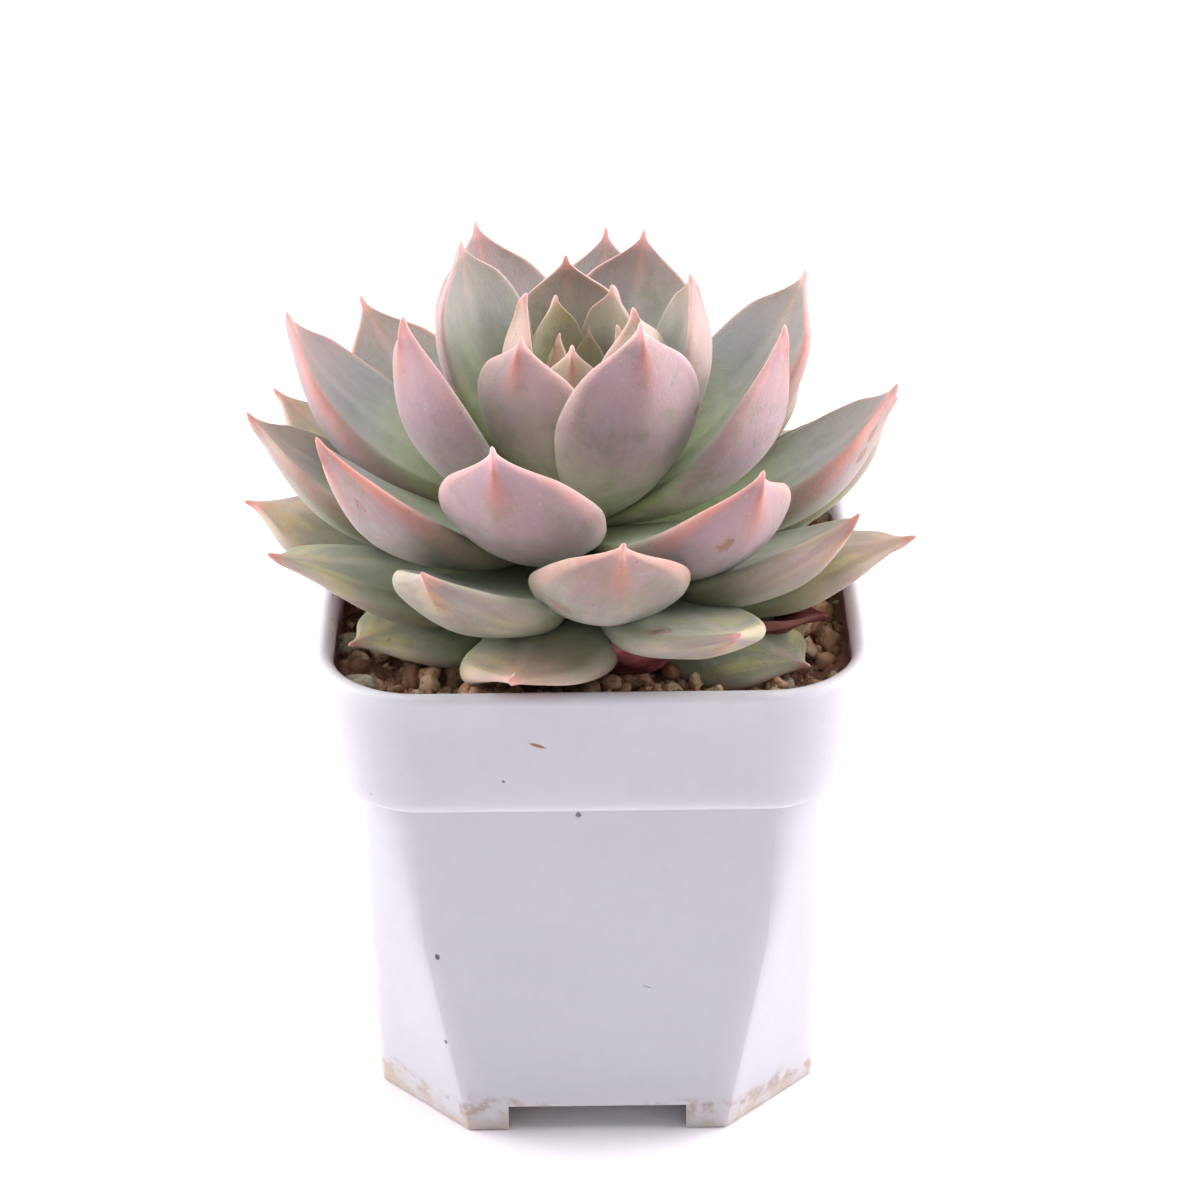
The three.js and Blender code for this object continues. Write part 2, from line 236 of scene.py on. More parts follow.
def newGroup(name, inputs, output):
    # a shader node group with one float output; returns it with its inputs by name and its end
    tree = bpy.data.node_groups.new(name, "ShaderNodeTree")
    tree.interface.new_socket("Vector", in_out="INPUT", socket_type="NodeSocketVector")
    for label, value in inputs.items():
        tree.interface.new_socket(label, in_out="INPUT", socket_type="NodeSocketFloat").default_value = value
    tree.interface.new_socket(output, in_out="OUTPUT", socket_type="NodeSocketFloat")
    return tree, tree.nodes.new("NodeGroupInput").outputs, tree.nodes.new("NodeGroupOutput")


def makeSpeckleGroup():
    # specks: a cell's middle is marked where the cell's own random number is under Amount
    inputs = {"Scale": 500.0, "Size": 0.25, "Amount": 0.2}
    tree, given, end = newGroup("specks", inputs, "Mask")
    wobble = noise(given["Vector"], 900.0, 2.0, 0.5, "Color")
    shift = vectorCalc("MULTIPLY", wobble, (1.2 * mm, 1.2 * mm, 1.2 * mm))
    moved = vectorCalc("ADD", given["Vector"], shift)
    cells = put(tree, "ShaderNodeTexVoronoi", {"feature": "F1"}, Vector=moved, Scale=given["Scale"])
    draw = split(cells.outputs["Color"])
    chosen = calc("LESS_THAN", draw[0], given["Amount"])
    ownSize = times(given["Size"], plus(draw[1], 0.35))
    near = calc("SUBTRACT", 1.0, calc("DIVIDE", cells.outputs["Distance"], ownSize), clamp=True)
    feed(end, "Mask", times(step(near, 0.0, 0.5), chosen))
    return tree


def makeMottleGroup():
    # two sizes of cloudy variation, from 0 to 1 about a middle of one half
    inputs = {"Coarse": 60.0, "Fine": 600.0, "Share": 0.4}
    tree, given, end = newGroup("mottle", inputs, "Value")
    coarse = noise(given["Vector"], given["Coarse"], 4.0)
    fine = noise(given["Vector"], given["Fine"], 3.0)
    blend = joined("ShaderNodeMix", {"data_type": "FLOAT"}, {0: given["Share"], 2: coarse, 3: fine})
    feed(end, "Value", blend)
    return tree


speckles = makeSpeckleGroup()
mottle = makeMottleGroup()

# meshes from grids


def gridFaces(rows, columns, wrap=True):
    # quads between neighbouring points of a grid whose columns close on themselves
    r, c = np.meshgrid(np.arange(rows - 1), np.arange(columns if wrap else columns - 1), indexing="ij")
    a = r * columns + c
    b = r * columns + (c + 1) % columns
    return np.stack([a, b, b + columns, a + columns], -1).reshape(-1, 4)


def newPiece(name, vertices, quads, triangles=()):
    mesh = bpy.data.meshes.new(name)
    faces = [tuple(face) for group in (quads, triangles) for face in np.asarray(group).tolist()]
    mesh.from_pydata(vertices.tolist(), [], faces)
    mesh.validate()
    mesh.polygons.foreach_set("use_smooth", np.ones(len(mesh.polygons), dtype=bool))
    piece = bpy.data.objects.new(name, mesh)
    bpy.context.scene.collection.objects.link(piece)
    return piece


def capFaces(rows, columns):
    # fans that close the first and the last row on the two vertices after the grid
    c = np.arange(columns)
    n = (c + 1) % columns
    start = np.stack([np.full(columns, rows * columns), n, c], -1)
    base = (rows - 1) * columns
    stop = np.stack([np.full(columns, rows * columns + 1), base + c, base + n], -1)
    return np.vstack([start, stop])


def closedGrid(name, points):
    # points is rows x columns x 3: columns wrap round, and the first and last rows close on their own middles
    rows, columns = points.shape[:2]
    vertices = np.vstack([points.reshape(-1, 3), points[0].mean(0), points[-1].mean(0)])
    return newPiece(name, vertices, gridFaces(rows, columns), capFaces(rows, columns))


def addAttribute(piece, name, values):
    # a number, or three numbers, for each vertex
    kind, field = ("FLOAT_VECTOR", "vector") if np.ndim(values) == 2 else ("FLOAT", "value")
    layer = piece.data.attributes.new(name, kind, "POINT")
    layer.data.foreach_set(field, np.asarray(values, dtype=np.float32).ravel())


def smoothStep(x, low, high):
    t = np.clip((x - low) / (high - low), 0, 1)
    return t * t * (3 - 2 * t)


# pot

potShape = {
    "bandHeight": 17.8 * mm,
    "bandFootHalf": 32.6 * mm,
    "bodyTopHalf": 30.4 * mm,
    "bodyFootHalf": 28.9 * mm,
    "lipCorner": 13.5 * mm,
    "bandFootCorner": 11.5 * mm,
    "bodyCorner": 7.5 * mm,
    "cutTop": 4.4 * mm,
    "cutFoot": 12.0 * mm,
    "wall": 1.6 * mm,
    "lipWidth": 2.3 * mm,
    "lipDepth": 2.6 * mm,
    "footHeight": 3.9 * mm,
    "floor": 1.6 * mm,
    "notchWidth": 23.4 * mm,
    "drainRadius": 3.0 * mm,
    "drainRing": 13.0 * mm,
    "drainHoles": 4,
    "drainLevels": (-5 * mm, 12 * mm),
    "cutInset": 0.586,  # how far the cut corner moves for an inset of one: 2 less the root of 2
    "sharpAngle": 38,
}


def squareRings(half, corner, cut, soft, z, arcSteps=22, sideSteps=10):
    # A rounded square ring for each row: a quarter is an arc of radius max(corner, cut) and a straight side.
    # Where x + y passes the line that cuts the corner, the point slides back to it along the diagonal.
    half, corner, cut, soft, z = (np.asarray(v, dtype=float)[:, None] for v in (half, corner, cut, soft, z))
    turn = (1 - np.cos(np.linspace(0, np.pi, arcSteps))) * np.pi / 4
    radius = np.maximum(corner, cut)
    arcX = half - radius + radius * np.cos(turn)
    arcY = half - radius + radius * np.sin(turn)
    over = soft * np.logaddexp(0, (arcX + arcY - 2 * half + cut) / 2 / soft)
    arcX, arcY = arcX - over, arcY - over
    run = np.linspace(0, 1, sideSteps + 2)[1:-1]
    x = np.hstack([arcX, arcX[:, -1:] * (1 - 2 * run)])
    y = np.hstack([arcY, arcY[:, -1:] + 0 * run])
    ringX, ringY = np.hstack([x, -y, -x, y]), np.hstack([y, x, -y, -x])
    return np.stack([ringX, ringY, np.repeat(z, ringX.shape[1], axis=1)], -1)


def bodyRow(z, inset):
    p = potShape
    t = z / (lipZ - p["bandHeight"])
    half = p["bodyFootHalf"] + (p["bodyTopHalf"] - p["bodyFootHalf"]) * t - inset
    cut = max(p["cutFoot"] + (p["cutTop"] - p["cutFoot"]) * t - p["cutInset"] * inset, 0.2 * mm)
    soft = (0.12 + 0.9 * max(t, 0) ** 2) * mm
    return half, max(p["bodyCorner"] - inset, mm), cut, soft, z


def bandRow(z, inset):
    p = potShape
    t = (z - lipZ + p["bandHeight"]) / p["bandHeight"]
    half = p["bandFootHalf"] + (potHigh[0] - potMiddle[0] - p["bandFootHalf"]) * t - inset
    corner = p["bandFootCorner"] + (p["lipCorner"] - p["bandFootCorner"]) * t - inset
    return half, corner, 0.2 * mm, 0.05 * mm, z


def quarterTurn(make, z, inset, radius, start, stop, steps=5):
    # rows round an edge of the profile: a quarter circle about (inset + radius, z)
    for angle in np.linspace(math.radians(start), math.radians(stop), steps):
        yield make(z + radius * math.sin(angle), inset + radius * (1 - math.cos(angle)))


def potRows():
    p = potShape
    bandFoot = lipZ - p["bandHeight"]
    wall, bead = p["wall"], p["lipWidth"] / 2
    edge = 0.35 * mm
    shoulder = lipZ - bead
    ledge = bandFoot + wall
    floorTop = p["footHeight"] + p["floor"]
    rows = [bodyRow(p["footHeight"], share) for share in (24 * mm, 12 * mm, 5 * mm, wall + edge, wall)]
    rows += [bodyRow(z, wall) for z in (p["footHeight"] - edge, p["footHeight"] / 2, edge)]
    rows += [bodyRow(0, wall - edge), bodyRow(0, edge)]
    rows += list(quarterTurn(bodyRow, edge, 0, edge, -90, 0, 4))
    rows += [bodyRow(z, 0) for z in np.linspace(1 * mm, bandFoot - edge, 22)]
    rows += [bodyRow(bandFoot, 0.03 * mm), bandRow(bandFoot, p["bandFootHalf"] - p["bodyTopHalf"] - edge)]
    rows += [bandRow(bandFoot, 1.1 * mm)]
    rows += list(quarterTurn(bandRow, bandFoot + 0.9 * mm, 0, 0.9 * mm, -90, 0, 6))
    rows += [bandRow(z, 0) for z in np.linspace(bandFoot + 1.6 * mm, shoulder - 1 * mm, 9)]
    rows += list(quarterTurn(bandRow, shoulder, 0, bead, 0, 180, 13))
    rows += [bandRow(shoulder - 0.5 * mm, p["lipWidth"]), bandRow(lipZ - p["lipDepth"], wall + 0.15 * mm)]
    rows += [bandRow(z, wall) for z in np.linspace(lipZ - p["lipDepth"] - 0.8 * mm, ledge + edge, 6)]
    rows += [bandRow(ledge, wall + edge), bodyRow(ledge, wall - edge), bodyRow(ledge - edge, wall)]
    rows += [bodyRow(z, wall) for z in np.linspace(ledge - 2 * mm, floorTop + edge, 8)]
    rows += [bodyRow(floorTop, share) for share in (wall + edge, 6 * mm, 14 * mm, 24 * mm)]
    return rows


def cutAway(piece, cutters):
    for cutter in cutters:
        modifier = piece.modifiers.new(cutter.name, "BOOLEAN")
        modifier.object = cutter
        modifier.solver = "EXACT"
    made = bpy.data.meshes.new_from_object(piece.evaluated_get(bpy.context.evaluated_depsgraph_get()))
    piece.modifiers.clear()
    piece.data = made
    for cutter in cutters:
        bpy.data.objects.remove(cutter)


def boxCutter(name, low, high):
    x, y, z = zip(low, high)
    corners = np.array([[(x[i], y[j], z[k]) for i, j in ((0, 0), (1, 0), (1, 1), (0, 1))] for k in (0, 1)])
    return closedGrid(name, corners)


def makePot():
    p = potShape
    half, corner, cut, soft, z = (np.array(values) for values in zip(*potRows()))
    rings = squareRings(half, corner, cut, soft, z + potLow[2])
    rings[..., 0] += potMiddle[0]
    rings[..., 1] += potMiddle[1]
    piece = closedGrid("moulded_pot", rings)
    reach, wide = 60 * mm, p["notchWidth"] / 2
    x, y = potMiddle[:2]
    cutters = [
        boxCutter("notchX", (x - reach, y - wide, -reach), (x + reach, y + wide, p["footHeight"])),
        boxCutter("notchY", (x - wide, y - reach, -reach), (x + wide, y + reach, p["footHeight"])),
    ]
    turn = np.linspace(0, 2 * np.pi, 32, endpoint=False)
    for k in range(p["drainHoles"] + 1):
        away = p["drainRing"] if k else 0
        side = math.radians(45 + 360 / p["drainHoles"] * k)
        middle = np.array([x + away * math.cos(side), y + away * math.sin(side)])
        circle = middle + p["drainRadius"] * np.stack([np.cos(turn), np.sin(turn)], -1)
        levels = [np.column_stack([circle, np.full(32, level)]) for level in p["drainLevels"]]
        cutters.append(closedGrid("drain" + str(k), np.array(levels)))
    cutAway(piece, cutters)
    piece.data.polygons.foreach_set("use_smooth", np.ones(len(piece.data.polygons), dtype=bool))
    piece.data.set_sharp_from_angle(angle=math.radians(p["sharpAngle"]))
    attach(piece, "root")
    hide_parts("pot")
    return piece


potLook = {
    "base": ((200, 198, 204), (203, 201, 206)),
    "grime": (190, 164, 132),
    "tideMark": (158, 120, 88),
    "soilStain": (120, 88, 60),
    "specks": (74, 66, 66),
    "dust": (188, 180, 184),
    # marks on the front: place from the middle and from the lip, half length, half height, colour
    "marks": (
        (-6.8 * mm, -7.2 * mm, 1.1 * mm, 0.3 * mm, (150, 104, 78)),
        (-20.3 * mm, -41.0 * mm, 0.36 * mm, 0.5 * mm, (90, 86, 90)),
        (-19.6 * mm, -54.5 * mm, 0.24 * mm, 0.4 * mm, (104, 100, 104)),
        (6.5 * mm, -46.0 * mm, 0.9 * mm, 0.16 * mm, (150, 146, 152)),
    ),
}


def makePotMaterial():
    # satin white plastic with a lilac cast, a tan tide-mark at the foot, specks, scuffs and a stain by the soil
    material, tree, skin = newMaterial(
        "potPlastic", Roughness=0.34, IOR=1.46, Subsurface_Weight=0.7, Subsurface_Scale=5 * mm
    )
    skin.inputs["Subsurface Radius"].default_value = (1.0, 0.9, 0.95)
    place = objectPlace(tree)
    x, y, height = split(place)
    cloud = clouds(place, 40.0, 420.0, 0.35)
    tint = mix(step(cloud, 0.38, 0.62), *(colour(*tone) for tone in potLook["base"]))
    # grime: the height over the foot, made uneven by noise
    low = plus(height, times(minus(noise(place, 110.0, 4.0), 0.5), 9 * mm))
    grit = noise(place, 330.0, 5.0, 0.6)
    grime = times(fall(low, 0.6 * mm, 4.6 * mm), step(grit, 0.38, 0.56, 0.3, 1.0), clamp=True)
    tint = cover(tint, colour(*potLook["grime"]), grime, 0.62)
    shore = times(step(low, 1.2 * mm, 3.6 * mm), fall(low, 3.6 * mm, 5.2 * mm))
    shore = times(shore, step(grit, 0.44, 0.58))
    tint = cover(tint, colour(*potLook["tideMark"]), shore, 0.6)
    # the stain lies on inner walls, whose normal points back to the middle of the lip, under a wavy line
    inward = vectorCalc("SUBTRACT", place, (potMiddle[0], potMiddle[1], lipZ))
    normal = put(tree, "ShaderNodeNewGeometry").outputs["Normal"]
    within = fall(vectorCalc("DOT_PRODUCT", inward, normal, "Value"), -16 * mm, -6 * mm)
    stainTop = minus(height, times(minus(cloud, 0.5), 20 * mm))
    stain = times(within, fall(stainTop, lipZ - 5.2 * mm, lipZ - 2 * mm))
    tint = cover(tint, colour(*potLook["soilStain"]), stain, 0.8)
    tint = cover(tint, colour(*potLook["specks"]), specks(place, 120.0, 0.075, 0.14), 0.85)
    front = calc("LESS_THAN", y, potMiddle[1] - 20 * mm)
    for markX, markZ, wide, high, mark in potLook["marks"]:
        # a sliver: the distance from its middle, with the axes scaled by its length and height
        aside = minus(x, potMiddle[0] + markX)
        offX = calc("DIVIDE", aside, wide)
        offZ = plus(minus(height, lipZ + markZ), times(aside, 0.35))
        offZ = calc("DIVIDE", offZ, high)
        away = calc("SQRT", plus(times(offX, offX), times(offZ, offZ)))
        away = plus(away, times(minus(cloud, 0.5), 1.5))
        tint = cover(tint, colour(*mark), fall(away, 0.6, 1.1), front)
    tint = cover(tint, colour(*potLook["dust"]), specks(place, 420.0, 0.12, 0.12), 0.3)
    feed(skin, "Base Color", tint)
    dull = plus(noise(place, 260.0, 5.0, 0.7), times(grime, 0.5))
    feed(skin, "Roughness", step(dull, 0.35, 0.8, 0.28, 0.5))
    scratch = noise(vectorCalc("MULTIPLY", place, (60, 60, 900)), 1.0, 3.0)
    bump(skin, plus(noise(place, 2600.0, 2.0), times(scratch, 0.6)), 0.12, 0.2 * mm)
    return material


pot = makePot()
pot.data.materials.clear()
pot.data.materials.append(makePotMaterial())
print("pot made:", len(pot.data.polygons), "faces")

# soil, grains, stones and root threads

soilLook = {
    "seed": 11,
    "mound": 1.6 * mm,
    "lump": 0.8 * mm,
    "atWall": 1.0 * mm,
    "clods": 70,
    "clodSize": (3.0 * mm, 4.6 * mm),
    "grains": 1300,
    "grainSize": (1.2 * mm, 4.4 * mm),
    "crumbs": 900,
    "crumbSize": (0.5 * mm, 1.3 * mm),
    "threads": 22,
    "threadLength": (4 * mm, 13 * mm),
    "threadRadius": 0.16 * mm,
    "threadReach": 30.5 * mm,
}
soilTop = soilHigh[2] - 2.2 * mm


def waves(points, size, seed, count=20):
    # a smooth random value near -1 to 1: the mean of cosines of points along random directions, over size
    draw = np.random.default_rng(seed)
    way = draw.normal(size=(count, points.shape[-1]))
    way *= (draw.uniform(0.6, 1.8, count) / np.linalg.norm(way, axis=1))[:, None]
    phase = draw.uniform(0, 2 * np.pi, count)
    return np.cos(points @ way.T * (2 * np.pi / size) + phase).sum(-1) / math.sqrt(count)


def bedHeight(x, y):
    # the mound falls off as a bell from the stem, with two sizes of lump on it
    away = np.hypot(x - stemAxis[0], y - stemAxis[1])
    flat = np.stack([x, y], -1)
    lumps = 0.7 * waves(flat, 9 * mm, soilLook["seed"]) + 0.4 * waves(flat, 3.2 * mm, soilLook["seed"] + 1)
    wall = np.maximum(np.abs(x - potMiddle[0]), np.abs(y - potMiddle[1])) / (potHigh[0] - potMiddle[0])
    heap = soilLook["mound"] * np.exp(-((away / (17 * mm)) ** 2)) + soilLook["atWall"] * smoothStep(wall, 0.6, 0.95)
    crumbs = 0.5 * np.abs(waves(flat, 2.4 * mm, soilLook["seed"] + 2))
    crumbs += 0.25 * np.abs(waves(flat, 1.1 * mm, soilLook["seed"] + 3))
    return soilTop + heap + soilLook["lump"] * (lumps * 0.6 + crumbs)


def makeSoilBed():
    clear = potShape["wall"] + 0.15 * mm
    ledge = lipZ - potShape["bandHeight"] + potShape["wall"]
    floorTop = potShape["footHeight"] + potShape["floor"] + 0.2 * mm
    low = [bodyRow(floorTop, clear + share) for share in (20 * mm, 8 * mm, 0)]
    low += [bodyRow(z, clear) for z in np.linspace(floorTop + 3 * mm, ledge - 1 * mm, 6)]
    upper = np.linspace(ledge + 0.2 * mm, soilTop - potLow[2] - 1 * mm, 4)
    low += [bandRow(z, clear + 1 * mm * (z < ledge + 1 * mm)) for z in upper]
    half, corner, cut, soft, z = (np.array(values) for values in zip(*low))
    sides = squareRings(half, corner, cut, soft, z + potLow[2], 44, 52)
    shares = np.linspace(1, 0.015, 150)[:, None, None]
    top = squareRings(half[-1:], corner[-1:], cut[-1:], soft[-1:], [0.0], 44, 52) * shares
    rings = np.concatenate([sides, top])
    rings[..., 0] += potMiddle[0]
    rings[..., 1] += potMiddle[1]
    rings[len(low):, :, 2] = bedHeight(rings[len(low):, :, 0], rings[len(low):, :, 1])
    piece = closedGrid("soil_bed", rings)
    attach(piece, "root")
    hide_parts("soil")
    return piece


def ballMesh(divisions):
    made = bpy.data.meshes.new("ball")
    shape = bmesh.new()
    bmesh.ops.create_icosphere(shape, subdivisions=divisions, radius=1.0)
    shape.to_mesh(made)
    shape.free()
    points = np.empty(len(made.vertices) * 3)
    made.vertices.foreach_get("co", points)
    faces = np.empty(len(made.polygons) * 3, dtype=np.int32)
    made.polygons.foreach_get("vertices", faces)
    bpy.data.meshes.remove(made)
    return points.reshape(-1, 3), faces.reshape(-1, 3)


def roughBalls(draw, count, divisions, knobs=0.7, flatness=(0.65, 1.0)):
    # unit balls, each pressed along random axes and knocked about by its own creased cosines, 1 - 2 |cos|
    points, faces = ballMesh(divisions)
    swell = np.zeros((count, len(points)))
    for frequency in (1.7, 2.9, 4.3, 5.6, 7.1):
        way = draw.normal(size=(count, 3))
        way /= np.linalg.norm(way, axis=1)[:, None]
        phase = draw.uniform(0, np.pi, (count, 1))
        swell += (1 - 2 * np.abs(np.cos(frequency / 2 * way @ points.T + phase))) / frequency**0.7
    shaped = points[None] * np.maximum(1 + knobs * swell / 1.6, 0.45)[..., None]
    shaped = shaped * draw.uniform(*flatness, (count, 1, 3))
    turn = np.linalg.qr(draw.normal(size=(count, 3, 3)))[0]
    turn[np.linalg.det(turn) < 0, :, 0] *= -1
    shaped = np.einsum("nij,npj->npi", turn, shaped)
    everyFace = faces[None] + (np.arange(count) * len(points))[:, None, None]
    return shaped, everyFace.reshape(-1, 3)


def scatter(draw, count, sizes, power):
    # places over the soil inside the pot wall, kept half a grain from it, with more small grains than big ones
    low, high = sizes
    size = low + (high - low) * draw.uniform(0, 1, count) ** power
    half = potHigh[0] - potMiddle[0] - potShape["wall"] - 0.9 * mm
    x, y = draw.uniform(-1, 1, (2, count)) * (half - size / 2)
    corner = potShape["lipCorner"] - potShape["wall"]
    inner = half - corner
    outX, outY = np.maximum(np.abs(x) - inner, 0), np.maximum(np.abs(y) - inner, 0)
    pull = np.minimum(1, (corner - size / 2) / np.maximum(np.hypot(outX, outY), 1e-9))
    x = np.sign(x) * (np.minimum(np.abs(x), inner) + outX * pull) + potMiddle[0]
    y = np.sign(y) * (np.minimum(np.abs(y), inner) + outY * pull) + potMiddle[1]
    return x, y, size


def makeGrains(name, count, sizes, power, divisions, seed):
    # many small grains to a few big ones, each resting on the bed or half sunk in it
    draw = np.random.default_rng(seed)
    x, y, size = scatter(draw, count, sizes, power)
    balls, faces = roughBalls(draw, count, divisions)
    lift = size * draw.uniform(-0.1, 0.42, count)
    middle = np.stack([x, y, bedHeight(x, y) + lift], -1)
    points = balls * (size / 2)[:, None, None] + middle[:, None, :]
    piece = newPiece(name, points.reshape(-1, 3), faces)
    each = balls.shape[1]
    tone = np.stack([draw.uniform(0, 1, count), draw.uniform(0, 1, count), size / sizes[1]], -1)
    addAttribute(piece, "grain", np.repeat(tone, each, axis=0))
    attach(piece, "root")
    return piece


def makeStone(k, node):
    low, high = (np.array(corner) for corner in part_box(node))
    draw = np.random.default_rng(70 + k)
    balls, faces = roughBalls(draw, 1, 5, 0.2, (0.9, 1.0))
    points = balls[0]
    spread = points.max(0) - points.min(0)
    points = (points - points.min(0)) / spread * (high - low) + low
    points += (points - (low + high) / 2) * (0.03 * waves(points, 1.6 * mm, 80 + k))[:, None]
    piece = newPiece("pale_pebble_" + str(k).zfill(2), points, faces)
    addAttribute(piece, "grain", np.tile([draw.uniform(), draw.uniform(), 1.0], (len(points), 1)))
    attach(piece, "root")
    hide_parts(node)
    return piece


def makeThreads():
    # root threads: tubes along lines that wander over the soil, z = bed height + a small hump
    draw = np.random.default_rng(soilLook["seed"] + 5)
    count, steps, sides = soilLook["threads"], 18, 6
    x, y = scatter(draw, count, (2 * mm, 3 * mm), 1.0)[:2]
    length = draw.uniform(*soilLook["threadLength"], count)[:, None]
    run = np.linspace(-0.5, 0.5, steps)[None]
    heading = draw.uniform(0, 2 * np.pi, count)[:, None] + draw.uniform(-2.2, 2.2, count)[:, None] * run
    step = length / steps
    reach = soilLook["threadReach"]
    lineX = x[:, None] + np.cumsum(np.cos(heading) * step, 1) - potMiddle[0]
    lineY = y[:, None] + np.cumsum(np.sin(heading) * step, 1) - potMiddle[1]
    lineX = np.clip(lineX, -reach, reach) + potMiddle[0]
    lineY = np.clip(lineY, -reach, reach) + potMiddle[1]
    lift = 1.5 * mm + 0.8 * mm * np.cos(run * 7 + draw.uniform(0, 6, count)[:, None])
    line = np.stack([lineX, lineY, bedHeight(lineX, lineY) + lift], -1)
    along = np.gradient(line, axis=1)
    along /= np.linalg.norm(along, axis=2)[..., None]
    side = np.cross(along, [0, 0, 1.0])
    side /= np.linalg.norm(side, axis=2)[..., None]
    up = np.cross(side, along)
    taper = np.sqrt(np.clip(1 - (2 * run) ** 8, 0.02, 1))
    radius = soilLook["threadRadius"] * taper * draw.uniform(0.6, 1.5, count)[:, None]
    turn = np.linspace(0, 2 * np.pi, sides, endpoint=False)
    ring = side[:, :, None] * np.cos(turn)[:, None] - up[:, :, None] * np.sin(turn)[:, None]
    points = line[:, :, None] + ring * radius[..., None, None]
    ends = np.stack([line[:, 0], line[:, -1]], 1)
    each = steps * sides + 2
    shift = (np.arange(count) * each)[:, None, None]
    vertices = np.concatenate([points.reshape(count, -1, 3), ends], 1).reshape(-1, 3)
    tubes, caps = gridFaces(steps, sides) + shift, capFaces(steps, sides) + shift
    piece = newPiece("root_threads", vertices, tubes.reshape(-1, 4), caps.reshape(-1, 3))
    tone = np.stack([draw.uniform(0, 1, count), draw.uniform(0, 1, count), np.ones(count)], -1)
    addAttribute(piece, "grain", np.repeat(tone, each, axis=0))
    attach(piece, "root")
    return piece


# each earth's dark, middle, light and pale colours, its share of pale grains and its roughness
earthLook = {
    "grainClay": ((198, 146, 116), (242, 190, 148), (250, 222, 180), (250, 236, 216), 0.05, 0.92),
    "bedClay": ((190, 140, 112), (232, 180, 142), (244, 210, 168), (200, 168, 132), 0.0, 0.92),
    "stonePale": ((120, 98, 76), (168, 144, 116), (200, 180, 152), (214, 200, 178), 0.5, 0.85),
    "threadStraw": ((120, 92, 64), (176, 148, 110), (206, 184, 148), (214, 198, 168), 0.3, 0.8),
}
poreColour, glintColour = colour(70, 44, 32), colour(206, 186, 152)


def makeEarthMaterial(name, look):
    # crumbly earth: the grain's own tone, clouds inside the grain, dark pores, pale mineral specks
    *tones, paleShare, roughness = look
    dark, middle, light, pale = (colour(*tone) for tone in tones)
    material, tree, skin = newMaterial(name, Roughness=roughness)
    place = objectPlace(tree)
    grain = split(attribute(tree, "grain"))
    cloud = clouds(place, 260.0, 1700.0, 0.5)
    tone = plus(times(grain[0], 0.75), times(minus(cloud, 0.5), 1.5))
    tint = mix(step(tone, 0.0, 0.45), dark, middle)
    tint = mix(step(tone, 0.4, 0.85), tint, light)
    bleached = calc("GREATER_THAN", grain[1], 1 - paleShare)
    tint = cover(tint, pale, bleached, step(cloud, 0.3, 0.55))
    pores = specks(place, 1300.0, 0.35, 0.35)
    tint = cover(tint, poreColour, pores, 0.4)
    tint = cover(tint, glintColour, specks(place, 900.0, 0.2, 0.14), 0.6)
    feed(skin, "Base Color", tint)
    feed(skin, "Roughness", step(cloud, 0.3, 0.7, 0.78, 0.98))
    rough = plus(noise(place, 700.0, 6.0, 0.8), times(pores, -0.6))
    bump(skin, rough, 1.0, 1.8 * mm)
    return material


grainClay, bedClay, stonePale, threadStraw = (makeEarthMaterial(name, look) for name, look in earthLook.items())
makeSoilBed().data.materials.append(bedClay)
clods = makeGrains("soil_clods", soilLook["clods"], soilLook["clodSize"], 1.2, 3, soilLook["seed"] + 4)
grains = makeGrains("soil_grains", soilLook["grains"], soilLook["grainSize"], 1.5, 2, soilLook["seed"] + 2)
crumbs = makeGrains("soil_crumbs", soilLook["crumbs"], soilLook["crumbSize"], 1.0, 1, soilLook["seed"] + 3)
for piece in (clods, grains, crumbs):
    piece.data.materials.append(grainClay)
makeThreads().data.materials.append(threadStraw)
stoneNodes = sorted(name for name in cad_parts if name.startswith("stone"))
for k, node in enumerate(stoneNodes):
    makeStone(k + 1, node).data.materials.append(stonePale)
print("soil made:", len(grains.data.polygons), "grain faces")

# stem

stemLook = {
    "rootRadius": 1.6 * mm,
    "collar": 5.6 * mm,
    "tipRadius": 1.0 * mm,
    "girth": 0.97,
    "ridge": 0.25 * mm,
    "ridges": 3,  # round the stem
    "ridgeTurn": 90,  # radians from the root to the tip
    "ridgeWave": 120,
    # dark, middle, light and pale, the share of pale, the roughness
    "bark": ((70, 56, 40), (112, 98, 66), (138, 126, 88), (160, 150, 120), 0.0, 0.8),
}


def makeStem():
    # a turned profile from the root to the tip, ridged where the old leaves sat: r = profile + ridge * waves
    s = stemLook
    height = np.linspace(0, 1, 60)
    z = stemLow[2] + (stemHigh[2] - stemLow[2]) * height
    collarAt = (soilTop - stemLow[2]) / (stemHigh[2] - stemLow[2])
    radii = [s["rootRadius"], s["collar"], s["collar"], s["tipRadius"]]
    radius = np.interp(height, [0, collarAt, collarAt + 0.1, 1], radii)
    turn = np.linspace(0, 2 * np.pi, 40, endpoint=False)
    ridges = np.cos(s["ridges"] * turn[None] + s["ridgeTurn"] * height[:, None])
    ridges = ridges * np.sin(height * s["ridgeWave"])[:, None]
    r = radius[:, None] * s["girth"] + s["ridge"] * ridges * np.minimum(1, radius[:, None] / (3 * mm)) - s["ridge"]
    points = np.stack([stemAxis[0] + r * np.cos(turn), stemAxis[1] + r * np.sin(turn), z[:, None] + 0 * r], -1)
    piece = closedGrid("rosette_stem", points)
    addAttribute(piece, "grain", np.tile([0.5, 0.3, 1.0], (len(piece.data.vertices), 1)))
    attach(piece, "root")
    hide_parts("stem")
    return piece


makeStem().data.materials.append(makeEarthMaterial("stemBark", stemLook["bark"]))
print("stem made")

# leaves

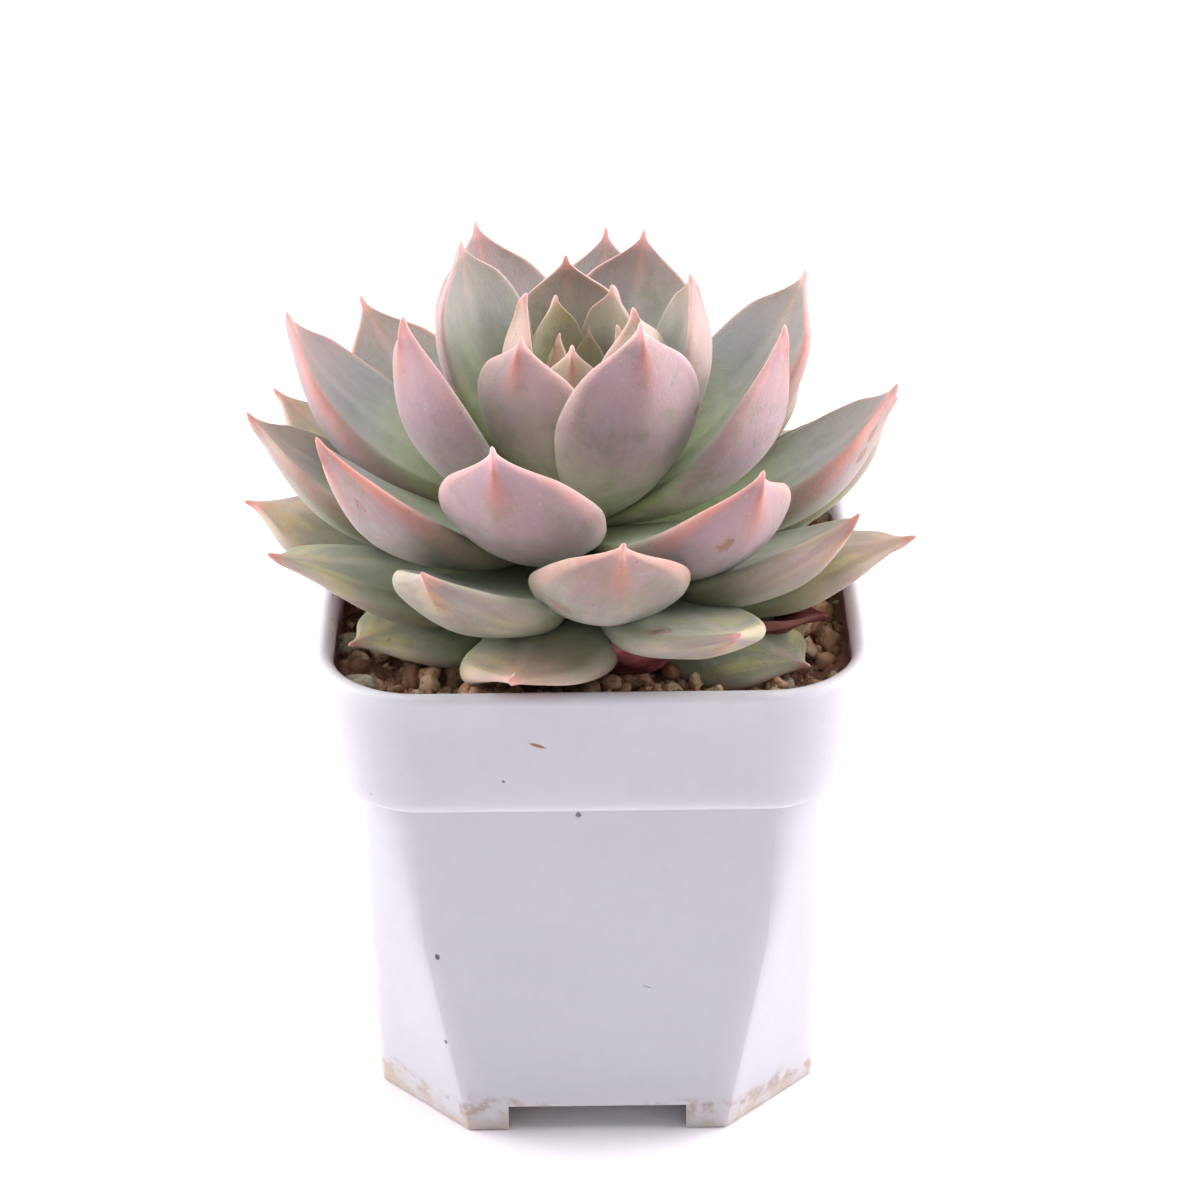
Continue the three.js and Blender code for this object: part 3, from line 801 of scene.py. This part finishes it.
leafShape = {
    "width": 19.6 * mm,
    "thickness": 5.4 * mm,
    "widestAt": 0.6,
    "neckWidth": 0.28,
    "neckThickness": 0.34,
    "bow": 0.38,
    "ogee": 0.4,
    "pointRadius": 0.46 * mm,
    "keel": 0.35 * mm,
    "rows": 68,
    "columns": 56,
}
# how leaves change from the youngest to the oldest, and then the withered ones, read through a smooth curve;
# margin is the radius of the round edge, and faceShare the face's own swelling, as shares of the thickness
leafGrowth = {
    "leaf": (1, 5, 10, 16, 23, 31, 38, 41, 43, 46, 47, 50),
    "base": (0.97, 0.9, 0.8, 0.67, 0.52, 0.36, 0.22, 0.16, 0.1, 0.04, 0.02, 0),
    "start": (84, 76, 58, 30, 12, 0, -6, -6, -10, -12, -24, -20),
    "end": (94, 98, 96, 80, 62, 46, 26, 18, 8, 4, 58, 24),
    "wide": (0.26, 0.52, 0.88, 1, 1, 1, 1, 0.98, 0.9, 0.85, 0.54, 0.54),
    "thick": (0.35, 0.5, 0.8, 1, 1, 1, 0.92, 0.88, 0.8, 0.7, 0.3, 0.28),
    "cupping": (0.1, 0.1, 0.1, 0.1, 0.1, 0.05, -0.05, -0.06, -0.06, -0.06, 0.06, 0.06),
    "faceShare": (0.2, 0.2, 0.22, 0.22, 0.24, 0.3, 0.46, 0.48, 0.48, 0.48, 0.3, 0.3),
    "margin": (0.2, 0.2, 0.2, 0.2, 0.24, 0.3, 0.4, 0.42, 0.42, 0.42, 0.3, 0.3),
}
leafWander = {"twist": 7.0, "sweep": 0.035, "ripple": 0.16 * mm, "edge": 0.018}
# marks on single leaves: share of the length, place across from -1 to 1, face 1 or back -1, size, depth of colour
leafScars = {
    "leaf_13": ((0.62, 0.9, -1, 0.9 * mm, 0.9),),
    "leaf_21": ((0.76, -0.4, -1, 1.7 * mm, 0.62),),
    "leaf_23": ((0.8, 0.5, -1, 1.6 * mm, 0.5), (0.68, 0.3, -1, 1.2 * mm, 0.45)),
    "leaf_24": ((0.8, -0.72, -1, 1.4 * mm, 0.85), (0.86, -0.78, -1, 1.3 * mm, 0.8)),
    "leaf_26": ((0.64, -0.68, -1, 2.3 * mm, 0.6), (0.7, 0.72, -1, 1.2 * mm, 0.55)),
    "leaf_31": ((0.84, 0.1, -1, 2.6 * mm, 0.5), (0.76, 0.3, -1, 1.8 * mm, 0.4)),
    "leaf_34": ((0.76, -0.78, 1, 1.7 * mm, 1.0), (0.78, -0.5, 1, 1.0 * mm, 0.5)),
    "leaf_39": ((0.96, 0.0, 1, 1.5 * mm, 0.9),),
    "leaf_42": ((0.99, 0.0, 1, 1.0 * mm, 0.8),),
    "leaf_44": ((0.99, 0.0, 1, 1.0 * mm, 0.8),),
}
# leaves that differ from the even growth: share of the usual width, lift of the middle, turn about their length
# in degrees, and the tip's shift to the side and up
leafNudges = {
    "leaf_34": (0.92, 1.2 * mm, -7.0, 0.0, 0.0),
    "leaf_39": (1.0, 0.4 * mm, 13.0, -1.8 * mm, -0.9 * mm),
    "leaf_41": (1.0, 0.0, 0.0, 0.0, 0.6 * mm),
    "leaf_42": (1.0, 0.0, 0.0, 1.5 * mm, -0.9 * mm),
    "leaf_43": (1.0, 0.0, 0.0, 0.0, 1.3 * mm),
    "leaf_44": (1.0, 0.0, 0.0, -1.4 * mm, 0.5 * mm),
    "withered_leaf_01": (1.3, 0.0, 0.0, 4.0 * mm, 2.6 * mm),
}


def growthOf(number, name):
    # cubic through the table: leaves a row at the slope between its neighbours
    at, values = np.array(leafGrowth["leaf"], dtype=float), np.array(leafGrowth[name], dtype=float)
    k = int(np.clip(np.searchsorted(at, number) - 1, 0, len(at) - 2))
    before, after = max(k - 1, 0), min(k + 2, len(at) - 1)
    width = at[k + 1] - at[k]
    t = (number - at[k]) / width
    slopeIn = (values[k + 1] - values[before]) / (at[k + 1] - at[before]) * width
    slopeOut = (values[after] - values[k]) / (at[after] - at[k]) * width
    step = values[k + 1] - values[k]
    return values[k] + t * (slopeIn + t * (3 * step - 2 * slopeIn - slopeOut + t * (slopeIn + slopeOut - 2 * step)))


def midline(start, stop, startSlope, stopSlope, shares):
    # a cubic curve in the leaf's upright plane, read at even shares of its length
    pull = np.hypot(*(stop - start)) * leafShape["bow"]
    a = start + pull * np.array([math.cos(startSlope), math.sin(startSlope)])
    b = stop - pull * np.array([math.cos(stopSlope), math.sin(stopSlope)])
    t = np.linspace(0, 1, 400)[:, None]
    line = start * (1 - t) ** 3 + a * 3 * t * (1 - t) ** 2 + b * 3 * t**2 * (1 - t) + stop * t**3
    run = np.concatenate([[0], np.cumsum(np.linalg.norm(np.diff(line, axis=0), axis=1))])
    wanted = shares * run[-1]
    at = np.stack([np.interp(wanted, run, line[:, k]) for k in (0, 1)], -1)
    slope = np.gradient(line, axis=0)
    along = np.stack([np.interp(wanted, run, slope[:, k]) for k in (0, 1)], -1)
    return at, along / np.linalg.norm(along, axis=1)[:, None], run[-1]


def halfWidths(s, width):
    # flares as a sine to the widest place, then 1 - u squared, drawn in to a slender point near the tip
    p = leafShape
    flare = p["neckWidth"] + (1 - p["neckWidth"]) * np.sin(np.pi / 2 * np.minimum(s / p["widestAt"], 1)) ** 1.3
    u = np.clip((s - p["widestAt"]) / (0.975 - p["widestAt"]), 0, 1)
    taper = np.maximum(1 - u**2.2, 0) ** 0.95 * (1 - p["ogee"] * smoothStep(u, 0.6, 1.0))
    half = width / 2 * np.where(s < p["widestAt"], flare, taper)
    point = points(s, width)
    return (half**3 + point**3) ** (1 / 3) + 0.02 * mm, point


def points(s, width):
    # the radius of the slender point at the leaf's end
    radius = leafShape["pointRadius"] * min(1, width / (12 * mm))
    return radius * np.sqrt(np.clip(1 - np.clip((s - 0.94) / 0.06, 0, 1) ** 2, 0, 1)) * smoothStep(s, 0.75, 0.92)


def depths(s, thickness):
    p = leafShape
    swell = np.sin(np.pi * s).clip(0, 1)
    share = np.where(s < 0.5, p["neckThickness"] + (1 - p["neckThickness"]) * swell, swell**0.9)
    share = share * (1 - 0.4 * smoothStep(s, 0.65, 1.0))
    return thickness * share


driedLook = {
    "crumple": 0.9 * mm,
    "curl": 2.2 * mm,
    "narrow": 0.12,
    "base": ((98, 36, 44), (140, 70, 76)),
    "tip": (200, 120, 108),
    "edge": (204, 150, 136),
    "crease": (96, 40, 40),
    "blotch": (70, 44, 32),
}


def makeLeaf(node, number, dried=False):
    p, w = leafShape, leafWander
    draw = np.random.default_rng(300 + number)
    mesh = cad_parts[node].data
    seen = np.empty(len(mesh.vertices) * 3)
    mesh.vertices.foreach_get("co", seen)
    seen = seen.reshape(-1, 3)
    baseZ = soilTop + 3 * mm + (stemHigh[2] - 2 * mm - soilTop - 3 * mm) * growthOf(number, "base")
    root = np.array([stemAxis[0], stemAxis[1], baseZ])
    apex = seen[np.argmax(np.linalg.norm(seen - root, axis=1))]
    wider, raised, rolled, tipSide, tipUp = leafNudges.get(node, (1.0, 0.0, 0.0, 0.0, 0.0))
    apex = apex + np.array([tipSide, 0.0, tipUp])
    outward = apex[:2] - stemAxis
    azimuth = math.atan2(outward[1], outward[0])
    stemRadius = np.interp(baseZ, [soilTop + 3 * mm, stemHigh[2]], [stemLook["collar"], stemLook["tipRadius"]])
    start = np.array([stemRadius + 0.3 * mm, baseZ])
    stop = np.array([np.hypot(*outward), apex[2]])
    s = (1 - np.cos(np.linspace(0, np.pi, p["rows"]))) / 2
    s = 0.35 * s + 0.65 * np.linspace(0, 1, p["rows"])
    slopes = [math.radians(growthOf(number, name)) for name in ("start", "end")]
    at, along, length = midline(start, stop, *slopes, s)
    up = np.stack([-along[:, 1], along[:, 0]], -1)
    side = np.array([-math.sin(azimuth), math.cos(azimuth)])
    width = p["width"] * growthOf(number, "wide") * wider
    half, point = halfWidths(s, width)
    depth = (depths(s, p["thickness"] * growthOf(number, "thick")) ** 3 + (1.8 * point) ** 3) ** (1 / 3)
    turn = np.linspace(0, 2 * np.pi, p["columns"], endpoint=False)
    # going from the right margin over the face, so that the faces look outward
    v, lift = np.cos(turn), np.sin(turn)
    edge = 1 + w["edge"] * waves(np.stack([s * 3, s * 0], -1), 1.0, 500 + number, 8)
    across = (half * edge)[:, None] * v
    cupping, faceShare, margin = (growthOf(number, name) for name in ("cupping", "faceShare", "margin"))
    curl = 2 * half[:, None] * cupping * np.minimum(1, s / p["widestAt"])[:, None] * (v**2 - 0.35)
    # a lens with a round margin: the lens is 1 - v squared, and the margin a half circle of radius bead
    bead = np.minimum(margin * depth, half)[:, None]
    outer = np.clip((np.abs(v) - 1 + bead / half[:, None]) / (bead / half[:, None]), 0, 1)
    rim = bead * np.sqrt(1 - outer**2)
    faceRise = rim + np.maximum(depth[:, None] * faceShare - 0.7 * bead, 0) * (1 - v**2)
    backDrop = rim + np.maximum(depth[:, None] * (1 - faceShare) - bead, 0) * (1 - np.abs(v) ** 2.2)
    keelRun = smoothStep(s, 0.5, 0.82) * (1 - smoothStep(s, 0.93, 1.0))
    keel = p["keel"] * keelRun[:, None] * np.exp(-((v / 0.25) ** 2))
    height = curl + np.where(lift >= 0, faceRise, -backDrop - keel)
    flat = np.stack([across / (9 * mm), s[:, None] * 3 + 0 * across, lift + 0 * across], -1)
    height += w["ripple"] * waves(flat, 1.6, 700 + number, 14) * np.sin(np.pi * s)[:, None] * np.abs(lift)
    if dried:
        height += driedLook["crumple"] * waves(flat, 1.1, 900 + number, 12) * np.sin(np.pi * s)[:, None]
        height += driedLook["curl"] * (v**2) * np.sin(np.pi * s)[:, None]
        across = across * (1 - driedLook["narrow"] * (v**2))
    height = height + (raised * np.sin(np.pi * s))[:, None]
    twist = math.radians(w["twist"]) * draw.uniform(-1, 1) * s**1.5 + math.radians(rolled) * np.sin(np.pi * s)
    across, height = (
        across * np.cos(twist)[:, None] - height * np.sin(twist)[:, None],
        across * np.sin(twist)[:, None] + height * np.cos(twist)[:, None],
    )
    across = across + (w["sweep"] * draw.uniform(-1, 1) * length * np.sin(np.pi * s) ** 2 * s)[:, None]
    r = at[:, :1] + up[:, :1] * height
    z = at[:, 1:] + up[:, 1:] * height
    x = stemAxis[0] + math.cos(azimuth) * r + side[0] * across
    y = stemAxis[1] + math.sin(azimuth) * r + side[1] * across
    name = ("dried_leaf_" if dried else "rosette_leaf_") + node[-2:]
    piece = closedGrid(name, np.stack([x, y, z], -1))
    place = np.stack([s[:, None] + 0 * v, v + 0 * s[:, None], lift + 0 * s[:, None]], -1).reshape(-1, 3)
    place = np.vstack([place, [[0, 0, 0], [1, 0, 0]]])
    addAttribute(piece, "leafPlace", place)
    age = (number - 1) / 45
    addAttribute(piece, "leafTone", np.tile([age, draw.uniform(), draw.uniform()], (len(place), 1)))
    scar = np.zeros(len(place))
    for share, cross, faceSide, size, strength in leafScars.get(node, ()):
        mark = np.hypot((place[:, 0] - share) * length, (place[:, 1] - cross) * width / 2)
        near = 1 - smoothStep(mark, size * 0.4, size * 1.3)
        scar = np.maximum(scar, strength * near * (place[:, 2] * faceSide > -0.2))
    addAttribute(piece, "leafScar", scar)
    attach(piece, "root")
    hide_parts(node)
    return piece


leafColours = {
    "backYoung": (204, 184, 162),
    "backMiddle": (176, 149, 158),
    "backOld": (136, 127, 122),
    # the back's foot on young leaves: a paler base, lifted further as painted light for the shaded middle of the
    # rosette
    "backFoot": (204, 200, 180),
    "backFootOld": (124, 124, 90),
    "faceYoung": (184, 184, 150),
    "faceMiddle": (150, 152, 150),
    "faceOld": (130, 142, 116),
    # the face's foot: a paler yellow-green base, lifted further as painted light for the shaded middle of the
    # rosette
    "faceFoot": (184, 204, 144),
    # margin colours: the rim's own pink and pale, with a painted glow of light through the thin edge
    "marginYoung": (220, 178, 174),
    "marginMiddle": (222, 154, 140),
    "marginOld": (200, 188, 172),
    "tip": (242, 188, 184),
    "tipOld": (210, 156, 146),
    "blush": (204, 124, 104),
    "blushOld": (188, 128, 86),
    "vein": (184, 182, 112),
    # pale streaks, and a painted highlight along the face's ridge
    "streak": (186, 184, 178),
    "flush": (208, 148, 150),
    "flushOld": (190, 136, 128),
    "worn": (118, 130, 92),
    "scar": (150, 112, 90),
    "hole": (62, 50, 36),
    "scab": (240, 214, 204),
    "bloom": (196, 188, 196),
    "dots": (104, 78, 62),
    "flour": (214, 206, 206),
}


def makeLeafMaterial():
    # powdery skin over green flesh: colour by age, side and place, pale bloom rubbed off in patches
    c = {name: colour(*value) for name, value in leafColours.items()}
    material, tree, skin = newMaterial(
        "leafSkin", Roughness=0.62, IOR=1.4, Specular_IOR_Level=0.3, Subsurface_Weight=0.28,
        Subsurface_Scale=2 * mm, Sheen_Weight=0.25, Sheen_Roughness=0.5
    )
    skin.inputs["Subsurface Radius"].default_value = (1.0, 0.55, 0.45)
    place = objectPlace(tree)
    leafPlace = attribute(tree, "leafPlace")
    along, across, lift = split(leafPlace)
    aside = calc("ABSOLUTE", across)
    age, chance, other = split(attribute(tree, "leafTone"))
    scar = attribute(tree, "leafScar", "Fac")
    drift = minus(clouds(place, 90.0, 520.0, 0.4), 0.5)
    grown = plus(age, times(drift, 0.35))
    face = mix(step(grown, 0.04, 0.3), c["faceYoung"], c["faceMiddle"])
    face = mix(step(grown, 0.45, 0.72), face, c["faceOld"])
    back = mix(step(grown, 0.04, 0.3), c["backYoung"], c["backMiddle"])
    back = mix(step(grown, 0.36, 0.62), back, c["backOld"])
    # towards the foot the leaf turns paler, partly its own colour and partly painted light for the rosette's shaded
    # middle; old backs turn darker olive there instead
    footward = plus(along, times(drift, 0.5))
    elder = step(age, 0.36, 0.66)
    footHigh = plus(times(elder, 0.3), 0.66)
    foot = fall(footward, minus(footHigh, 0.45), footHigh)
    back = mix(foot, back, mix(elder, c["backFoot"], c["backFootOld"]))
    face = mix(fall(footward, 0.2, 0.72), face, c["faceFoot"])
    # a pale streak down the middle of the face, partly a painted highlight on the face's ridge
    streak = times(fall(aside, 0.02, 0.2), step(along, 0.3, 0.6))
    face = cover(face, c["streak"], streak, 0.45)
    tint = mix(step(lift, -0.12, 0.12), back, face)
    tipward = plus(along, times(drift, 0.12))
    # streaks along the leaf, from a place of its own in the noise
    own = vectorCalc("ADD", vectorCalc("MULTIPLY", leafPlace, (3.0, 7.0, 0.4)), times(chance, 40.0))
    vein = step(noise(own, 1.0, 5.0, 0.62), 0.45, 0.75)
    tint = cover(tint, c["vein"], vein, step(age, 0.4, 0.7, 0.13, 0.04))
    pale = step(noise(own, 1.7, 4.0, 0.6), 0.48, 0.75)
    tint = cover(tint, c["streak"], pale, step(age, 0.3, 0.7, 0.2, 0.1))
    # on the older leaves, yellow-green bands that follow the rim: noise over along + 0.22 across squared
    bow = times(plus(along, times(times(across, across), 0.22)), 8.0)
    rings = put(tree, "ShaderNodeCombineXYZ", None, X=bow, Y=times(across, 1.6), Z=times(chance, 40.0))
    band = step(noise(rings.outputs[0], 0.8, 3.0, 0.5), 0.44, 0.64)
    band = times(band, step(along, 0.5, 0.78))
    tint = cover(tint, c["vein"], band, step(age, 0.5, 0.8, 0.08, 0.7))
    # a flush of pink over the upper third, stronger on one side of the leaf
    upper = step(tipward, step(age, 0.5, 0.85, 0.62, 0.5), 0.98)
    flushed = times(upper, step(plus(other, drift), 0.2, 0.9, 0.35, 1.0))
    flushed = times(flushed, step(age, 0.06, 0.3, 0.45, 1.0))
    flush = mix(step(age, 0.36, 0.6), c["flush"], c["flushOld"])
    tint = cover(tint, flush, flushed, step(age, 0.5, 0.8, 0.4, 0.55))
    # bloom: paler and bluer where thick, greener and darker where it's rubbed away
    worn = step(plus(noise(place, 230.0, 6.0, 0.7), times(chance, 0.06)), 0.54, 0.66)
    tint = cover(tint, c["worn"], worn, 0.28)
    thick = step(noise(place, 140.0, 5.0, 0.65), 0.45, 0.7)
    tint = cover(tint, c["bloom"], thick, 0.16)
    # margins, in the rim's own pink and pale colours with a painted glow of light through the thin edge, then the
    # keel's blush and the point
    edge = step(plus(aside, times(drift, 0.2)), 0.85, 1.0)
    margin = mix(step(grown, 0.3, 0.45), c["marginYoung"], c["marginMiddle"])
    margin = mix(step(grown, 0.5, 0.66), margin, c["marginOld"])
    edge = times(edge, step(along, 0.45, 0.95, 0.15, 1.0))
    edge = times(edge, step(age, 0.3, 0.45, 0.5, 0.8))
    tint = cover(tint, margin, edge, step(age, 0.5, 0.7, 1.0, 0.5))
    keel = fall(plus(aside, times(drift, 0.3)), 0.0, 0.42)
    blush = times(times(step(tipward, 0.72, 0.94), keel), step(lift, -0.2, 0.3, 1.0, 0.35))
    ridge = mix(step(age, 0.45, 0.62), c["blush"], c["blushOld"])
    tint = cover(tint, ridge, blush, 0.7)
    tip = mix(step(age, 0.36, 0.6), c["tip"], c["tipOld"])
    tint = cover(tint, tip, step(tipward, 0.92, 0.985), 0.85)
    tint = cover(tint, c["dots"], specks(place, 620.0, 0.13, 0.16), 0.5)
    tint = cover(tint, c["flour"], specks(place, 1500.0, 0.3, 0.3), 0.16)
    ragged = plus(scar, times(minus(noise(place, 700.0, 4.0), 0.5), 0.9))
    hurt = times(step(ragged, 0.35, 0.6), step(scar, 0.02, 0.12))
    wound = mix(step(scar, 0.85, 0.98), c["scar"], c["hole"])
    wound = mix(step(along, 0.88, 0.92), wound, c["scab"])
    tint = cover(tint, wound, hurt, 0.85)
    shade = mix(chance, (0.90, 0.91, 0.92, 1.0), (1.0, 1.0, 1.0, 1.0))
    tint = mix(1.0, tint, shade, "MULTIPLY")
    feed(skin, "Base Color", tint)
    feed(skin, "Roughness", step(plus(worn, times(hurt, -1.0)), -1.0, 1.0, 0.85, 0.48))
    powder = noise(place, 3600.0, 3.0, 0.7)
    dents = times(noise(place, 420.0, 4.0, 0.6), 2.0)
    rise = minus(plus(powder, dents), times(hurt, 1.5))
    bump(skin, rise, 0.35, 0.22 * mm)
    return material


def makeDriedMaterial():
    # papery dark red leaf: paler tip and edge, dark crease down the middle, dark blotches
    base = driedLook["base"]
    c = {name: colour(*driedLook[name]) for name in ("tip", "edge", "crease", "blotch")}
    material, tree, skin = newMaterial(
        "driedLeaf", Roughness=0.6, IOR=1.4, Subsurface_Weight=0.1, Subsurface_Scale=1 * mm
    )
    place = objectPlace(tree)
    leafPlace = attribute(tree, "leafPlace")
    along, across = split(leafPlace)[:2]
    aside = calc("ABSOLUTE", across)
    cloud = clouds(place, 170.0, 900.0, 0.45)
    tint = mix(step(cloud, 0.36, 0.62), colour(*base[0]), colour(*base[1]))
    tint = cover(tint, c["tip"], step(along, 0.7, 1.0), 0.4)
    edge = step(plus(aside, times(cloud, 0.2)), 0.86, 1.06)
    tint = cover(tint, c["edge"], edge, 0.5)
    tint = cover(tint, c["crease"], fall(aside, 0.0, 0.12), 0.5)
    tint = cover(tint, c["blotch"], specks(place, 800.0, 0.25, 0.25), 0.6)
    feed(skin, "Base Color", tint)
    feed(skin, "Roughness", step(cloud, 0.3, 0.7, 0.45, 0.8))
    wrinkles = noise(vectorCalc("MULTIPLY", leafPlace, (4, 14, 0)), 1.0, 5.0, 0.6)
    folds = plus(wrinkles, times(noise(place, 1500.0, 4.0), 0.4))
    bump(skin, folds, 0.7, 0.6 * mm)
    return material


leafSkin = makeLeafMaterial()
driedSkin = makeDriedMaterial()
leafNodes = sorted(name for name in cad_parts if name.startswith("leaf"))
driedNodes = sorted(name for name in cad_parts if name.startswith("withered"))
for node in leafNodes:
    makeLeaf(node, int(node[-2:])).data.materials.append(leafSkin)
for k, node in enumerate(driedNodes):
    makeLeaf(node, len(leafNodes) + k + 1, dried=True).data.materials.append(driedSkin)
print("leaves made:", len(leafNodes), "and", len(driedNodes), "withered")

# floor


def makeFloor():
    # a wide paper sheet, flat to a third of its size, then a quarter circle of radius bend, then upright
    size, bend = studio["floorSize"], studio["floorBend"]
    x = np.linspace(-size, size, 9)
    turn = np.linspace(0, np.pi / 2, 13)
    y = np.concatenate([[-size, -size / 2, 0, size / 3], size / 3 + bend * np.sin(turn), [size / 3 + bend]])
    z = np.concatenate([[0, 0, 0, 0], bend - bend * np.cos(turn), [studio["backHeight"]]])
    points = np.stack([np.tile(x, (len(y), 1)), np.tile(y[:, None], 9), np.tile(z[:, None] - 0.02 * mm, 9)], -1)
    floor = newPiece("paper_floor", points.reshape(-1, 3), gridFaces(len(y), 9, wrap=False))
    material, tree, skin = newMaterial("floorPaper", Roughness=0.85)
    place = objectPlace(tree)
    paper = [colour(*tone) for tone in studio["paper"]]
    feed(skin, "Base Color", mix(step(clouds(place, 14.0, 900.0, 0.3), 0.3, 0.7), *paper))
    bump(skin, noise(place, 2200.0, 3.0), 0.06, 0.2 * mm)
    floor.data.materials.append(material)


makeFloor()
makeCamera()
makeLights()
print("studio made")
